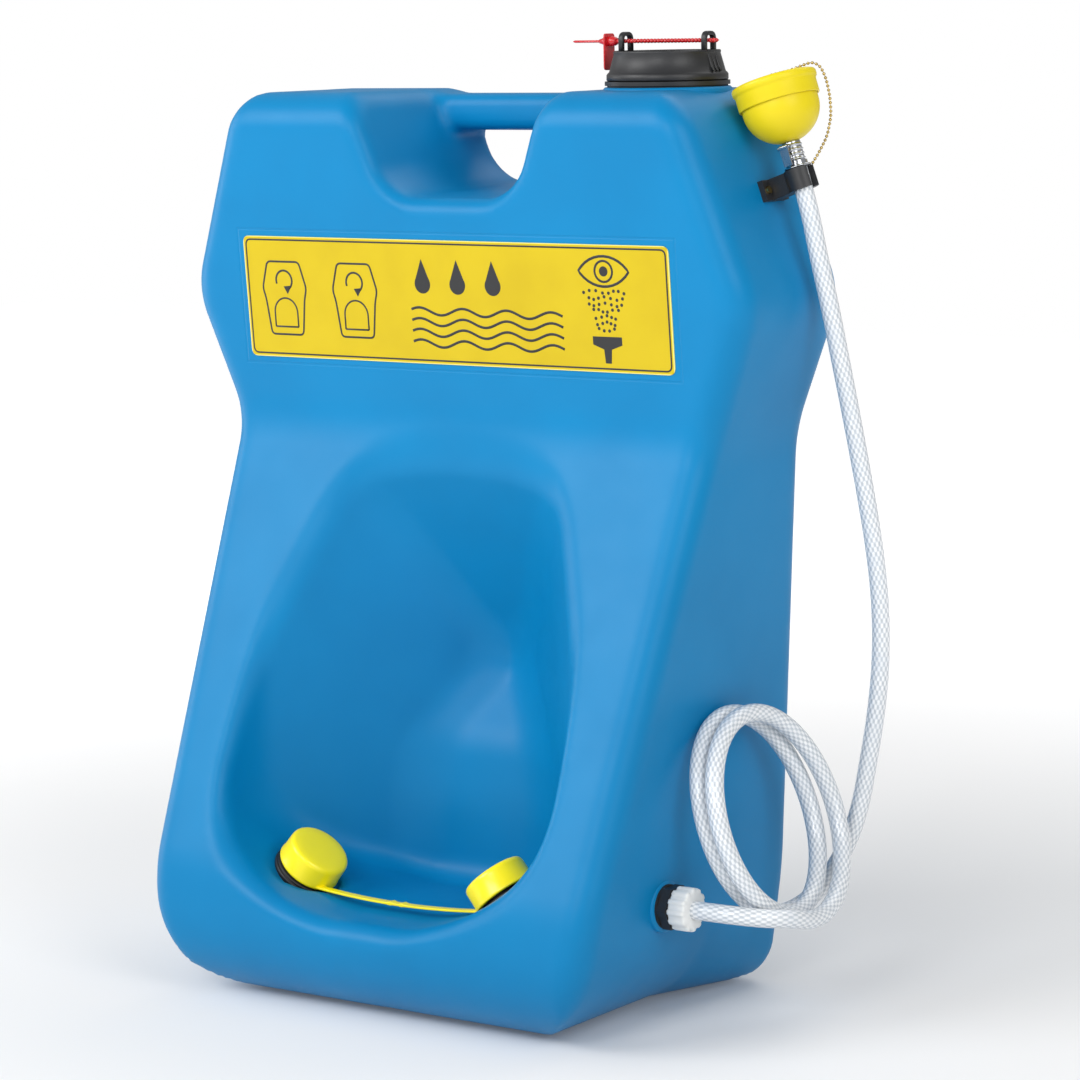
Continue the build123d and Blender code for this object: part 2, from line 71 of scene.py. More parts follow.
def makeCamera():
    # forward = (-sin az cos el, cos az cos el, -sin el), the other two axes turned about it by the roll
    az, el, roll = (radians(camera[key]) for key in ("azimuth", "elevation", "roll"))
    forward = Vector((-sin(az) * cos(el), cos(az) * cos(el), -sin(el)))
    level = Vector((cos(az), sin(az), 0))
    upright = level.cross(forward)
    right = level * cos(roll) + upright * sin(roll)
    up = upright * cos(roll) - level * sin(roll)
    place = (Vector(camera["target"]) - forward * camera["distance"]) * mm
    data = bpy.data.cameras.new("camera")
    data.lens = camera["lens"]
    data.sensor_width = camera["sensor"]
    data.shift_x, data.shift_y = camera["shift"]
    data.clip_end = 50
    made = bpy.data.objects.new("camera", data)
    made.matrix_world = Matrix.Translation(place) @ Matrix((right, up, -forward)).transposed().to_4x4()
    scene.collection.objects.link(made)
    scene.camera = made


makeCamera()
print("camera made")


# ---- meshes from arrays

def meshPiece(name, points, faces, uv=None):
    # one mesh from an (n, 3) array in millimetres and a list of face index arrays
    data = bpy.data.meshes.new(name)
    data.from_pydata(np.asarray(points, float) * mm, [], [face for group in faces for face in group.tolist()])
    if uv is not None:
        data.uv_layers.new(name="along").data.foreach_set("uv", uv.ravel())
    data.polygons.foreach_set("use_smooth", np.ones(len(data.polygons), bool))
    made = bpy.data.objects.new(name, data)
    scene.collection.objects.link(made)
    return made


def gridFaces(rows, columns, wrapRows=False):
    # quads between neighbouring rows and columns; the columns always join up round the back
    i = np.arange(rows if wrapRows else rows - 1)[:, None]
    j = np.arange(columns)[None, :]
    nextRow, nextColumn = (i + 1) % rows, (j + 1) % columns
    corners = (i * columns + j, i * columns + nextColumn, nextRow * columns + nextColumn, nextRow * columns + j)
    return np.stack(np.broadcast_arrays(*corners), -1).reshape(-1, 4)


def shellOf(grid, wrapRows=False):
    # closed surface over an (rows, columns, 3) grid: the first and last rows are closed by fans
    rows, columns = grid.shape[:2]
    points = grid.reshape(-1, 3)
    faces = [gridFaces(rows, columns, wrapRows)]
    if not wrapRows:
        points = np.vstack([points, grid[0].mean(0), grid[-1].mean(0)])
        j = np.arange(columns)
        nextJ = (j + 1) % columns
        first, last = rows * columns, rows * columns + 1
        faces.append(np.stack([nextJ, j, np.full(columns, first)], -1))
        base = (rows - 1) * columns
        faces.append(np.stack([base + j, base + nextJ, np.full(columns, last)], -1))
    return points, faces


def joined(name, shells):
    # several closed surfaces as one mesh
    points, faces, start = [], [], 0
    for shellPoints, shellFaces in shells:
        points.append(shellPoints)
        faces += [group + start for group in shellFaces]
        start += len(shellPoints)
    return meshPiece(name, np.vstack(points), faces)


class Place:
    # a local frame: origin in millimetres, z along the axis, x along the given direction
    def __init__(self, origin, axis, across):
        self.origin = np.array(origin, float)
        z = np.array(axis, float) / np.linalg.norm(axis)
        x = np.array(across, float) - z * np.dot(across, z)
        x /= np.linalg.norm(x)
        self.axes = np.array([x, np.cross(z, x), z])

    def world(self, points):
        return self.origin + np.asarray(points, float) @ self.axes

    def shell(self, shell):
        return self.world(shell[0]), shell[1]


level = Place((0, 0, 0), (0, 0, 1), (1, 0, 0))


def eased(corners, radius, closed=False, steps=4):
    # a polyline whose corners are replaced by short parabolas that start radius away from each corner
    corners = np.array(corners, float)
    out = []
    count = len(corners)
    for i in range(count):
        here, before, after = corners[i], corners[i - 1], corners[(i + 1) % count]
        if not closed and i in (0, count - 1):
            out.append(here[None])
            continue
        cut = min(radius, 0.48 * np.linalg.norm(before - here), 0.48 * np.linalg.norm(after - here))
        start = here + (before - here) * cut / max(np.linalg.norm(before - here), 1e-9)
        end = here + (after - here) * cut / max(np.linalg.norm(after - here), 1e-9)
        t = np.linspace(0, 1, steps + 1)[:, None]
        out.append((1 - t) ** 2 * start + 2 * t * (1 - t) * here + t**2 * end)
    return np.vstack(out)


def turned(profile, segments=72, ripple=None):
    # lathe: (r, h) carried round the axis; ripple(angle, h) adds to the radius
    profile = np.asarray(profile, float)
    angle = np.arange(segments) * 2 * pi / segments
    radius = np.repeat(profile[:, :1], segments, 1)
    height = np.repeat(profile[:, 1:], segments, 1)
    if ripple:
        radius = radius + ripple(angle[None, :], height)
    return shellOf(np.stack([radius * np.cos(angle), radius * np.sin(angle), height], -1))


def swept(path, profile, side, scale=None, closed=False):
    # a closed (a, b) profile carried along a path: a runs along the side vector, b across it and the path
    path = np.asarray(path, float)
    if closed:
        ahead = np.roll(path, -1, 0) - np.roll(path, 1, 0)
    else:
        ahead = np.gradient(path, axis=0)
    ahead /= np.linalg.norm(ahead, axis=1, keepdims=True)
    side = np.broadcast_to(np.array(side, float), path.shape)
    a = side - ahead * (side * ahead).sum(1, keepdims=True)
    a /= np.linalg.norm(a, axis=1, keepdims=True)
    b = np.cross(ahead, a)
    size = np.ones((len(path), 2)) if scale is None else np.asarray(scale, float)
    grid = path[:, None] + a[:, None] * (profile[:, 0] * size[:, :1])[..., None]
    grid = grid + b[:, None] * (profile[:, 1] * size[:, 1:])[..., None]
    return shellOf(grid, wrapRows=closed)


def roundRect(width, height, radius, steps=4):
    # outline of a rounded rectangle, anticlockwise
    w, h = width / 2, height / 2
    return eased([(w, -h), (w, h), (-w, h), (-w, -h)], radius, closed=True, steps=steps)


def circle(radius, count=16):
    angle = np.arange(count) * 2 * pi / count
    return np.stack([radius * np.cos(angle), radius * np.sin(angle)], -1)


def slab(outline, low, high, edge=0.6):
    # an outline in (x, y) raised from low to high with eased edges; the outline is seen whole from its middle
    outline = np.asarray(outline, float)
    middle = outline.mean(0)
    reach = np.linalg.norm(outline - middle, axis=1, keepdims=True)
    whole, inward, flat = ((outline - middle) * (1 - k * edge / reach) for k in (0, 1, 1.6))
    rows = []
    below = ((flat, low), (inward, low), (whole, low + edge))
    above = ((whole, high - edge), (inward, high), (flat, high))
    for ring, height in below + above:
        rows.append(np.column_stack([ring + middle, np.full(len(outline), height)]))
    return shellOf(np.array(rows))


def ball(centres, radius, rings=6, segments=8):
    # small spheres at many centres
    polar = np.linspace(0.15 * pi / rings, pi - 0.15 * pi / rings, rings)[:, None]
    angle = (np.arange(segments) * 2 * pi / segments)[None, :]
    unit = np.stack(np.broadcast_arrays(
        np.sin(polar) * np.cos(-angle), np.sin(polar) * np.sin(-angle), np.cos(polar)), -1)
    return [shellOf(unit * radius + centre) for centre in np.asarray(centres, float)]


def along(controls, perSpan=12):
    # the quadratic NURBS line through its control points, as Blender draws it
    curve = bpy.data.curves.new("line", "CURVE")
    curve.dimensions = "3D"
    curve.resolution_u = perSpan
    spline = curve.splines.new("NURBS")
    spline.points.add(len(controls) - 1)
    spline.points.foreach_set("co", np.column_stack([np.array(controls) * mm, np.ones(len(controls))]).ravel())
    spline.order_u = 3
    spline.use_endpoint_u = True
    holder = bpy.data.objects.new("line", curve)
    scene.collection.objects.link(holder)
    read = bpy.data.meshes.new_from_object(holder)
    line = np.zeros(len(read.vertices) * 3)
    read.vertices.foreach_get("co", line)
    bpy.data.objects.remove(holder)
    bpy.data.meshes.remove(read)
    return line.reshape(-1, 3) / mm


# ---- shader arithmetic

class Value:
    # an output socket that takes part in Python arithmetic
    def __init__(self, tree, socket=None):
        self.tree = tree
        self.socket = socket

    def node(self, kind, settings=None, inputs=None, out=0):
        made = self.tree.nodes.new(kind)
        for name, value in (settings or {}).items():
            if name == "stops":
                for element, (position, colour) in zip(made.color_ramp.elements, value):
                    element.position = position
                    element.color = colour
            else:
                setattr(made, name, value)
        for key, value in (inputs or {}).items():
            if isinstance(value, Value):
                self.tree.links.new(value.socket, made.inputs[key])
            else:
                made.inputs[key].default_value = value
        return Value(self.tree, made.outputs[out])

    def math(self, operation, *values):
        return self.node("ShaderNodeMath", {"operation": operation}, dict(enumerate(values)))

    def __add__(self, other):
        return self.math("ADD", self, other)

    __radd__ = __add__

    def __sub__(self, other):
        return self.math("SUBTRACT", self, other)

    def __rsub__(self, other):
        return self.math("SUBTRACT", other, self)

    def __mul__(self, other):
        return self.math("MULTIPLY", self, other)

    __rmul__ = __mul__

    def __abs__(self):
        return self.math("ABSOLUTE", self)

    def __gt__(self, other):
        return self.math("GREATER_THAN", self, other)

    def __lt__(self, other):
        return self.math("LESS_THAN", self, other)

    def sine(self):
        return self.math("SINE", self)

    def over(self, other):
        return self.math("MAXIMUM", self, other)

    def under(self, other):
        return self.math("MINIMUM", self, other)

    def fade(self, low, high):
        # 0 below low, 1 above high, smooth between
        return self.node("ShaderNodeMapRange", {"interpolation_type": "SMOOTHSTEP"},
                         {"Value": self, "From Min": low, "From Max": high})

    def noise(self, scale, detail=2.0, where=None):
        # fractal noise on the object's own coordinates
        return self.node("ShaderNodeTexNoise", {}, {"Vector": where or self.place(), "Scale": scale,
                                                    "Detail": detail}, out=0)

    def place(self):
        return self.node("ShaderNodeTexCoord", out="Object")

    def parts(self, vector=None):
        # the three numbers of a vector
        split = self.node("ShaderNodeSeparateXYZ", {}, {0: vector or self.place()})
        owner = split.socket.node
        return [Value(self.tree, owner.outputs[k]) for k in range(3)]

    def blend(self, mask, first, second):
        return self.node("ShaderNodeMix", {"data_type": "RGBA"}, {0: mask, 6: first, 7: second}, out=2)

    def bump(self, height, distance, strength=1.0):
        return self.node("ShaderNodeBump", {}, {"Height": height, "Distance": distance, "Strength": strength})


def colour(red, green, blue):
    # a colour given in 0 to 255, as the linear light that the shader wants
    light = [((c / 255 + 0.055) / 1.055) ** 2.4 if c > 10 else c / 255 / 12.92 for c in (red, green, blue)]
    return (*light, 1.0)


def finish(name, fixed, varying=None):
    # one Principled material: fixed values on its sockets, varying ones made by a function of a Value
    made = bpy.data.materials.new(name)
    made.use_nodes = True
    tree = made.node_tree
    shader = tree.nodes["Principled BSDF"]
    for key, value in fixed.items():
        shader.inputs[key].default_value = value
    if varying:
        for key, value in varying(Value(tree)).items():
            tree.links.new(value.socket, shader.inputs[key])
    return made


def dress(piece, material):
    piece.data.materials.clear()
    piece.data.materials.append(material)
    return piece


def settle(piece, body, material, slot, *stands):
    # finish a piece: its material, the body it rides on (none if it bends), its slot, which is not used, the CAD nodes
    # it stands for
    dress(piece, material)
    if body:
        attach(piece, body)
    if stands:
        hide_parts(*stands)
    return piece


# ---- hose: one length of braided tube from the nut, round two loops, up to the drench head

hose = {
    "radius": 7.95, "sides": 32,
    "strands": 11,  # round the tube, each way
    "lay": 118.0,  # braid crossings per metre of tube
    "leave": [(265, -36, 111), (284, -36, 111), (308, -29, 109.5), (327, -15, 106.5)],
    "rise": [
        (297, 26, 98.5), (298, 54, 92.5), (300.5, 81.5, 94.5), (304, 107, 104),
        (308, 128.5, 120.5), (312.5, 145, 142.5), (318, 155, 171), (325, 156, 208), (332, 158, 250),
        (337, 159, 296), (338, 158, 346), (335.5, 153, 397), (331.5, 144, 449), (327.5, 133, 502),
        (323, 121, 557), (318.5, 109, 611), (313.5, 99, 655),
    ],
    "straight": (-108, -71.4),  # along the head's axis: where the hose turns straight, and its end
}
coil = {
    "centre": (314.4, 38.2, 183.0), "across": 85.42, "upright": 87.1, "lean": -0.34,
    "shrinkAcross": -7.3, "shrinkUp": -2.39, "advance": -20.31,  # for each turn
    "first": -1.97, "last": 10.52, "perTurn": 16,
}
head = {"rim": (274.0, 94.0, 800.0), "tilt": 18.0, "radius": 33.0, "depth": 52.0, "skirt": 18.0}
headAxis = (-sin(radians(head["tilt"])), 0, cos(radians(head["tilt"])))
headPlace = Place(head["rim"], headAxis, (0, -1, 0))


def coilTurns():
    # y = a cos t, z = b sin t with a little second harmonic, leaning and creeping sideways turn by turn
    steps = round((coil["last"] - coil["first"]) / (2 * pi) * coil["perTurn"])
    t = np.linspace(coil["first"], coil["last"], steps + 1)
    turn = (t - t[0]) / (2 * pi)
    y = (coil["across"] + coil["shrinkAcross"] * turn) * np.cos(t) + 2.2 * np.cos(2 * t)
    z = (coil["upright"] + coil["shrinkUp"] * turn) * np.sin(t) + 2.7 * np.sin(2 * t)
    x = coil["lean"] * z + 0.01 * y + coil["advance"] * turn
    return np.stack([x, y, z], -1) + coil["centre"]


def carriedFrames(line):
    # two directions across a line that turn with it and never twist: each is the last one, made square again
    ahead = np.gradient(line, axis=0)
    ahead /= np.linalg.norm(ahead, axis=1, keepdims=True)
    side = np.zeros_like(line)
    side[0] = np.cross(ahead[0], (0, 1, 0))
    for k in range(1, len(line)):
        side[k] = side[k - 1] - ahead[k] * np.dot(side[k - 1], ahead[k])
        side[k] /= np.linalg.norm(side[k])
    return side, np.cross(ahead, side)


def makeHose():
    ends = [headPlace.world((0, 0, h)) for h in hose["straight"]]
    controls = np.vstack([hose["leave"], coilTurns(), hose["rise"], ends])
    line = along(controls, 6)
    side, other = carriedFrames(line)
    angle = np.arange(hose["sides"]) * 2 * pi / hose["sides"]
    ring = side[:, None] * np.cos(angle)[:, None] + other[:, None] * np.sin(angle)[:, None]
    grid = line[:, None] + ring * hose["radius"]
    points, faces = shellOf(grid)
    travel = np.concatenate([[0], np.cumsum(np.linalg.norm(np.diff(line, axis=0), axis=1))]) * mm
    rows, columns = grid.shape[:2]
    i, j = np.arange(rows - 1)[:, None], np.arange(columns)[None, :]
    u = np.stack(np.broadcast_arrays(travel[i], travel[i], travel[i + 1], travel[i + 1] + 0 * j), -1)
    v = np.stack(np.broadcast_arrays(j + 0 * i, j + 1, j + 1, j), -1) / columns
    quads = np.stack([u, v], -1).reshape(-1, 2)
    fans = np.zeros((len(faces[1]) * 3 + len(faces[2]) * 3, 2))
    made = meshPiece("hose", points, faces, np.vstack([quads, fans]))
    print("hose length", round(travel[-1], 4))
    return made, line * mm, travel[-1]


def braidLook(v):
    # two sets of strands wound opposite ways under a clear skin: each is a ridge |sin| of angle plus travel
    run, angle, _ = v.parts(v.node("ShaderNodeUVMap", {"uv_map": "along"}))
    first = abs((pi * (hose["strands"] * angle + hose["lay"] * run)).sine())
    second = abs((pi * (hose["strands"] * angle - hose["lay"] * run)).sine())
    ridge = first.over(second) * 0.55 + first * second * 0.45
    body = v.blend(ridge.fade(0.35, 0.95), colour(186, 193, 200), colour(240, 242, 244))
    streak = v.noise(60, 3.0)
    return {
        "Base Color": v.blend(streak.fade(0.3, 0.8) * 0.25, body, colour(196, 208, 220)),
        "Roughness": 0.30 + 0.18 * ridge,
        "Normal": v.bump(ridge, 0.0007, 0.8),
    }


braid = finish("braidedHose", {"Coat Weight": 0.9, "Coat Roughness": 0.09, "IOR": 1.5}, braidLook)
hosePiece, hoseLine, hoseLength = makeHose()
settle(hosePiece, "tank", braid, "hose_clear", "hose_entry", "hose_coil", "hose_rise")
print("hose made")


# ---- plastics and metals

def moulded(base, shade, grain=520.0, depth=0.00012, rough=0.38, scatter=0.0):
    # rotational-moulded skin: fine orange peel, faint cloudy colour, roughness that wanders a little
    def look(v):
        cloud = v.noise(7.0, 3.0)
        peel = v.noise(grain, 2.0)
        swell = v.noise(28.0, 2.0)
        return {
            "Base Color": v.blend(cloud.fade(0.3, 0.75), base, shade),
            "Roughness": rough + 0.10 * swell - 0.02 * peel,
            "Normal": v.bump(peel + 2.5 * swell, depth, 0.35),
        }
    return look


blue = finish("blueShell", {"Specular IOR Level": 0.2},
              moulded(colour(0, 124, 179), colour(0, 118, 172)))


def shellLook(v):
    # the blue skin, with a fine moulded line about 6 mm round the label and scuffs where hands and floors rub
    made = moulded(colour(0, 124, 179), colour(0, 118, 172))(v)
    x, y, z = v.parts()
    off = ((abs(x) - 0.236) * 1000).over((abs(z - 0.6125) - 0.0605) * 1000)
    line = (1 - abs(off).fade(0.4, 1.5)) * (y < 0.03)
    scuff = v.noise(160.0, 6.0).fade(0.60, 0.72) * (1 - z.fade(0.004, 0.035)).over(z.fade(0.786, 0.797) * 0.5)
    made["Base Color"] = v.blend(scuff * 0.35, made["Base Color"], colour(96, 160, 200))
    made["Normal"] = v.bump(v.noise(520.0, 2.0) * 0.05 + v.noise(28.0, 2.0) * 0.12 - line, 0.0009, 0.4)
    return made


shellBlue = finish("blueTankShell", {"Specular IOR Level": 0.2}, shellLook)
capYellow = finish("yellowCap", {"Coat Weight": 0.25, "Coat Roughness": 0.18},
                   moulded(colour(254, 236, 6), colour(248, 228, 3), 900.0, 0.00006, 0.30))
cupYellow = finish("yellowCup", {"Specular IOR Level": 0.35},
                   moulded(colour(224, 204, 10), colour(216, 194, 6), 900.0, 0.00006, 0.38))
black = finish("blackPlastic", {}, moulded(colour(24, 25, 27), colour(34, 35, 38), 1100.0, 0.00009, 0.40))
white = finish("whitePlastic", {}, moulded(colour(232, 233, 231), colour(221, 223, 222), 900.0, 0.00006, 0.36))
red = finish("redSeal", {"Coat Weight": 0.4, "Coat Roughness": 0.12},
             moulded(colour(206, 22, 30), colour(188, 14, 24), 900.0, 0.00005, 0.30))
rubber = finish("blackRubber", {}, moulded(colour(20, 20, 21), colour(31, 31, 32), 1500.0, 0.00010, 0.62))


def metalLook(base, shade):
    # polished metal with fine turning lines and handled patches
    def look(v):
        patch = v.noise(45.0, 3.0)
        line = v.noise(1800.0, 1.0)
        return {
            "Base Color": v.blend(patch.fade(0.3, 0.8), base, shade),
            "Roughness": 0.10 + 0.16 * patch,
            "Normal": v.bump(line, 0.00003, 0.3),
        }
    return look


chrome = finish("chrome", {"Metallic": 1.0}, metalLook(colour(186, 189, 194), colour(156, 160, 166)))
brass = finish("brass", {"Metallic": 1.0}, metalLook(colour(196, 172, 112), colour(170, 144, 84)))

# ---- tank: a field in millimetres that is negative inside the plastic, then a net of quads on its zero

tank = {
    "step": 5.9, "height": 795, "back": 167,
    "widths": ((0, 111, 499, 616, 795), (223, 239, 258, 303, 239)), "widthSoft": 22,
    "fronts": ((0, 111, 503, 795), (-166, -158, 9.4, -14.6)), "frontSoft": 22,
    "corner": 26, "base": (87, 40), "top": (34, 25),
    "rim": 18, "fold": 22, "gripRim": 15,
}


def softLine(z, knots, soft):
    # straight lines through the knots, averaged over a short height
    return np.mean([np.interp(z + s, *knots) for s in np.linspace(-soft, soft, 9)], axis=0)


def roundMax(a, b, r):
    # the larger of two distances, with a quarter round of radius r where they meet
    return np.minimum(np.maximum(a, b), -r) + np.hypot(np.maximum(a + r, 0), np.maximum(b + r, 0))


def bowlField(x, y, z):
    # negative in the bowl: front outline, plan, leaning back wall and the arch that comes down to the back
    tilt = radians(40)
    facet = (x - 92) * sin(tilt) - (z - 88) * cos(tilt)
    outline = roundMax(roundMax(x - 179, facet, 34), 88 - z, 40)
    plan = roundMax((x - 179) * 0.663 + (y + 62) * 0.749, (x - 127) * 0.793 + (y + 16) * 0.609, 10)
    backAt = softLine(z, ((0, 160, 215, 284, 900), (34, 34, 42, 84, 84)), 14)
    slope = np.interp(z, (150, 190, 215, 250, 284, 300), (0, 0.15, 0.4, 0.6, 0.5, 0))
    back = (y - backAt) / np.hypot(1, slope)
    oblique = np.maximum(z + 2.2 * (y + 1) - 261, 0)
    q = np.maximum(((x / 181) ** 2.25 + (oblique / 217) ** 2.25) ** (1 / 2.25), 0.3)
    roof = (q - 1) * q / np.maximum(np.hypot(x / 181**2, 2.417 * oblique / 217**2), 1e-4)
    space = roundMax(roundMax(outline, plan, 18), back, tank["fold"])
    return roundMax(space, roof, 15)


def gripField(x, y, z):
    # negative in the hand hole, which leaves a bar at the back
    deep = np.clip(y, 0, 167)
    notch = roundMax((x - 67 - (z - 700) * 0.379 + 0.07 * deep) / 1.07, 703 + 0.05 * deep - z, 30)
    bar = roundMax(roundMax(108 - y, 758 - z, 12), z - 795, 12)
    return roundMax(notch, -bar, 10)


def seatField(x, y, z):
    # negative in the shallow round seat of a nozzle, a disc across the nozzle's axis
    lean = radians(40)
    up = (106.6 - z) * -cos(lean) - (x - 115) * sin(lean)
    off = (x - 115) * cos(lean) + (z - 106.6) * sin(lean)
    return np.maximum(np.hypot(off, y + 85) - 33, np.maximum(-up, up - 14))


def tankField(p):
    x, y, z = np.abs(p[..., 0]), p[..., 1], p[..., 2]
    side = x - softLine(z, tank["widths"], tank["widthSoft"])
    front = softLine(z, tank["fronts"], tank["frontSoft"]) - y
    around = roundMax(roundMax(side, front, tank["corner"]), y - tank["back"], tank["corner"] - 5)
    block = roundMax(around, -z, np.interp(y, (40, 150), tank["base"]))
    block = roundMax(block, z - tank["height"], np.interp(y, (80, 150), tank["top"]))
    body = roundMax(block, -bowlField(x, y, z), tank["rim"])
    body = roundMax(body, -gripField(x, y, z), tank["gripRim"])
    body = roundMax(body, -seatField(x, y, z), 3)
    return np.maximum(body, -np.maximum(np.hypot(x * 0.4, z) - 6, y + 100))  # a small relief under the front


def netOf(field, low, high, step):
    # one point in every cell that the surface crosses, one quad round every grid edge that it crosses
    counts = [int((b - a) / step) + 2 for a, b in zip(low, high)]
    axes = [a + step * np.arange(n) for a, n in zip(low, counts)]
    values = np.stack([field(np.stack(np.meshgrid([x], *axes[1:], indexing="ij"), -1))[0] for x in axes[0]])
    inside = values < 0
    cells = tuple(n - 1 for n in counts)
    corner = lambda a, d: a[d[0]:d[0] + cells[0], d[1]:d[1] + cells[1], d[2]:d[2] + cells[2]]
    offsets = [(i, j, k) for i in (0, 1) for j in (0, 1) for k in (0, 1)]
    total = sum(corner(inside, d).astype(int) for d in offsets)
    active = (total > 0) & (total < 8)
    place, share = np.zeros((*cells, 3)), np.zeros(cells)
    for axis in range(3):
        for d in offsets:
            if d[axis]:
                continue
            e = tuple(d[k] + (k == axis) for k in range(3))
            a, b = corner(values, d), corner(values, e)
            cross = (a < 0) != (b < 0)
            t = np.where(cross, a / np.where(cross, a - b, 1), 0)
            point = np.stack([d[k] + t * (k == axis) for k in range(3)], -1)
            place += point * cross[..., None]
            share += cross
    index = np.full(cells, -1)
    index[active] = np.arange(active.sum())
    where = np.argwhere(active)
    points = np.array(low) + step * (where + place[active] / share[active][:, None])
    quads = []
    for axis in range(3):
        u, w = (axis + 1) % 3, (axis + 2) % 3
        head = [slice(None)] * 3
        tail = [slice(None)] * 3
        head[axis], tail[axis] = slice(0, -1), slice(1, None)
        change = inside[tuple(head)] != inside[tuple(tail)]
        at = np.argwhere(change)
        at = at[(at[:, u] > 0) & (at[:, w] > 0)]
        leaving = inside[tuple(at.T)]
        around = []
        for du, dw in ((-1, -1), (0, -1), (0, 0), (-1, 0)):
            c = at.copy()
            c[:, u] += du
            c[:, w] += dw
            around.append(index[tuple(c.T)])
        quad = np.stack(around, -1)
        quads.append(np.where(leaving[:, None], quad, quad[:, ::-1]))
    return points, np.vstack(quads)


def slopeOf(field, points, h=0.5):
    return np.stack([(field(points + d) - field(points - d)) / (2 * h) for d in np.eye(3) * h], -1)


def drawnOnto(field, points, times=3):
    # Newton steps along the field's slope until each point is on the zero
    for _ in range(times):
        slope = slopeOf(field, points)
        size = np.maximum((slope**2).sum(1), 0.05)
        move = slope * (field(points) / size)[:, None]
        length = np.maximum(np.linalg.norm(move, axis=1, keepdims=True), 1e-9)
        points = points - move * np.minimum(1, 3 / length)
    return points


def relaxed(field, points, quads, times=4):
    # each point goes toward the middle of its neighbours, then back onto the surface
    pairs = np.vstack([quads[:, [k, (k + 1) % 4]] for k in range(4)])
    weight = np.bincount(pairs[:, 0], minlength=len(points))
    for _ in range(times):
        middle = np.stack([np.bincount(pairs[:, 0], points[pairs[:, 1], k], len(points)) for k in range(3)], -1)
        points = drawnOnto(field, points + 0.6 * (middle / weight[:, None] - points), 1)
    return drawnOnto(field, points, 2)


def makeTank():
    points, quads = netOf(tankField, (-317, -183, -14), (317, 183, 812), tank["step"])
    points = relaxed(tankField, drawnOnto(tankField, points), quads)
    print("tank quads", len(quads))
    return meshPiece("tankShell", points, [quads])


tankPiece = makeTank()
settle(tankPiece, "tank", shellBlue, "tank_blue", "tank")
print("tank made")

# ---- filler: raised ring on the tank, cone-shaped cap with two lugs, beaded seal and its tag

filler = {"centre": (168, 92, 797), "pad": 55.6, "lug": 42.5, "seal": 39.0, "bead": 1.9, "pitch": 3.5}
fillerPlace = Place(filler["centre"], (0, 0, 1), (1, 0, 0))
pad = turned([(30, -12), (filler["pad"], -12), (filler["pad"], -1.6), (filler["pad"] - 1.6, 0), (30, 0)], 96)
settle(joined("fillerPad", [fillerPlace.shell(pad)]), "tank", blue, "tank_blue")

outletPlace = Place((240.5, -36, 111), (1, 0, 0), (0, 1, 0))
boss = turned([(6, -9), (23, -9), (22.6, -1.2), (21.4, 0), (6, 0)], 64)
settle(joined("outletBoss", [outletPlace.shell(boss)]), "tank", blue, "tank_blue")


def fillCapShells():
    # a cone on a lipped foot, with a rim round a sunk top; two hoops and three fins under each
    cone = [(0.5, 22), (40, 21), (48.5, 8), (50, 5.5), (52, 5.5), (52.5, 6.4), (52.4, 10.4), (51.2, 12), (50.2, 12.8),
            (45.9, 28.2), (46.2, 29), (46.2, 30.4), (45.4, 31), (43, 31), (42.2, 30.2), (41.2, 25.6), (39.6, 24.6),
            (20, 24.4), (0.5, 24.4)]
    shells = [turned(cone, 120)]
    hoop = eased([(0, -7, 27), (0, -7, 45.2), (0, 7, 45.2), (0, 7, 27)], 5.5, steps=6)
    for side in (-1, 1):
        at = (side * filler["lug"], 0, 0)
        shells.append(swept(hoop + at, roundRect(5.0, 3.6, 1.2), (1, 0, 0)))
        for y in (-5.6, 0, 5.6):
            fin = eased([(0, 0), (10.5, 0), (3.4, 17), (0, 17)], 0.6, closed=True, steps=2)
            outline = fin * (side, 1) + (side * 41.5, 13)
            layers = [np.full(len(outline), y + side * t) for t in (0.9, -0.9)]
            shells.append(shellOf(np.stack([np.column_stack([outline[:, 0], at, outline[:, 1]]) for at in layers])))
    return shells


capPiece = joined("fillCap", [fillerPlace.shell(s) for s in fillCapShells()])
settle(capPiece, "fill_cap", black, "black_plastic", "fill_cap")

run = np.arange(-49, 51.6, filler["pitch"])
strands = [fillerPlace.world(np.column_stack([run, np.full(len(run), y), np.full(len(run), filler["seal"])]))
           for y in (-2.0, 2.0)]
beads = ball(np.vstack(strands), filler["bead"])
threads = [fillerPlace.shell(swept([(-52, y, filler["seal"]), (0, y, filler["seal"]), (51.5, y, filler["seal"])],
                                   circle(0.55, 8), (0, 1, 0))) for y in (-2.0, 2.0)]
sealHead = Place(fillerPlace.world((-58, 0, filler["seal"])), (1, 0, 0), (0, 1, 0))
cone = sealHead.shell(turned([(0.6, -12), (1.9, -11.6), (4.2, -3), (4.4, 2), (3.8, 4.6), (2.6, 7), (0.6, 7)], 32))
tail = sealHead.shell(turned([(0.3, -40), (1.1, -38), (1.2, -1), (0.5, 1)], 10))
settle(joined("sealStrap", beads + threads + [cone, tail]), "fill_cap", red, "seal_red", "seal_strap")

tagPlace = Place(fillerPlace.world((-60.3, 0, 30)), (1, 0, 0), (0, 1, 0))
settle(joined("sealTag", [tagPlace.shell(slab(roundRect(15.6, 31.6, 3), -0.7, 0.7, 0.3))]), "fill_cap", red,
       "seal_red", "seal_tag")
print("filler made")

# ---- nozzles: flanged black body and a yellow press-on cap on each side, joined by a strap

nozzle = {"seat": (115, -85, 106.6), "tilt": 40, "strap": ((92, -97, 101), 5.0)}


def nozzlePlace(side):
    x, y, z = nozzle["seat"]
    tilt = radians(nozzle["tilt"])
    return Place((side * x, y, z), (-side * sin(tilt), 0, cos(tilt)), (0, -1, 0))


